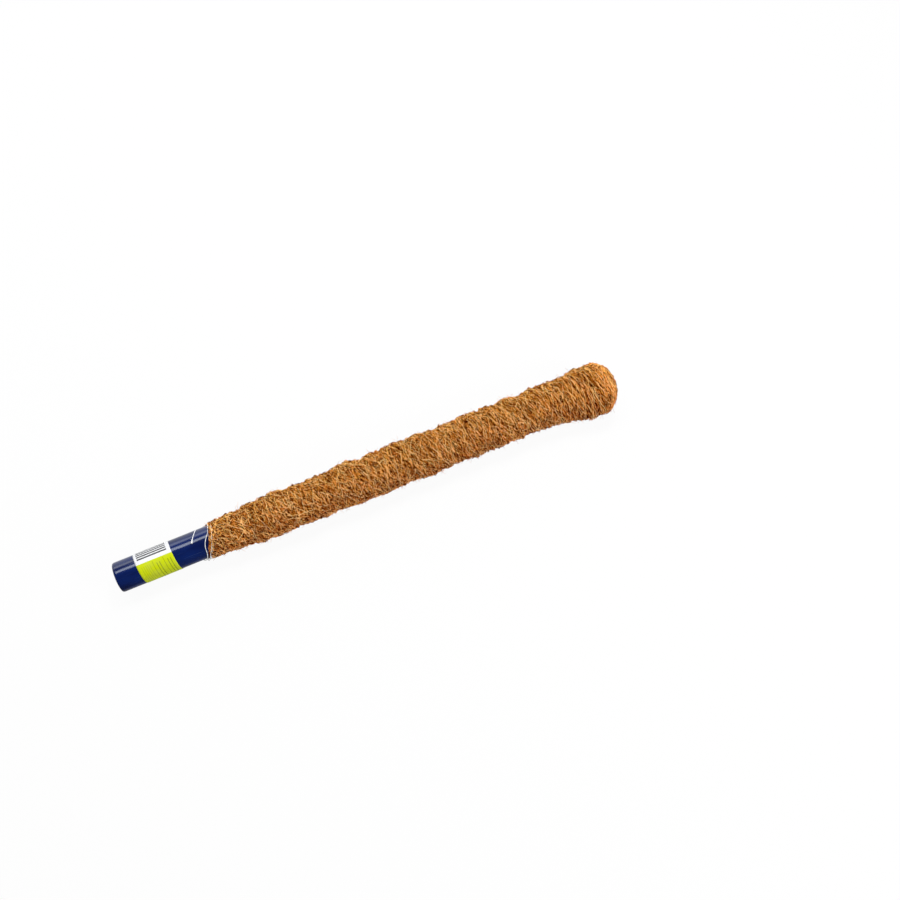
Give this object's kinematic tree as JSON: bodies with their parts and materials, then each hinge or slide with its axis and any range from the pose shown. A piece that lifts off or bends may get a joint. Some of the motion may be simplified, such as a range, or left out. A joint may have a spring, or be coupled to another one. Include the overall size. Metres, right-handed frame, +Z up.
{
  "type": "moss pole",
  "caption": "Plant pole: a plastic pipe, bare and labelled at the foot, wrapped in bunches of coir bound on with nylon thread and closed by a domed coir crown.",
  "frame": {"origin": "under the middle of the pole, on the surface that it lies on", "axes": "+X along the pole, from the bare foot of the pipe to the coir crown; +Z up; -Y towards the side seen in the picture"},
  "size_m": [0.6, 0.062, 0.0536],
  "materials": {
    "pipe_plastic": "glossy navy pipe, lightly scuffed",
    "label_film": "satin sticker, white and yellow-green, unprinted but for plain rules",
    "coir": "loose golden-brown coconut fibre",
    "nylon_thread": "clear nylon thread"
  },
  "bodies": {
    "root": {"pipe": "pipe_plastic", "label": "label_film", "coir_bunch_01": "coir", "coir_bunch_02": "coir", "coir_bunch_03": "coir", "coir_bunch_04": "coir", "coir_bunch_05": "coir", "coir_bunch_06": "coir", "coir_bunch_07": "coir", "coir_bunch_08": "coir", "coir_bunch_09": "coir", "coir_bunch_10": "coir", "coir_crown": "coir", "binding_thread": "nylon_thread"}
  },
  "joints": []
}
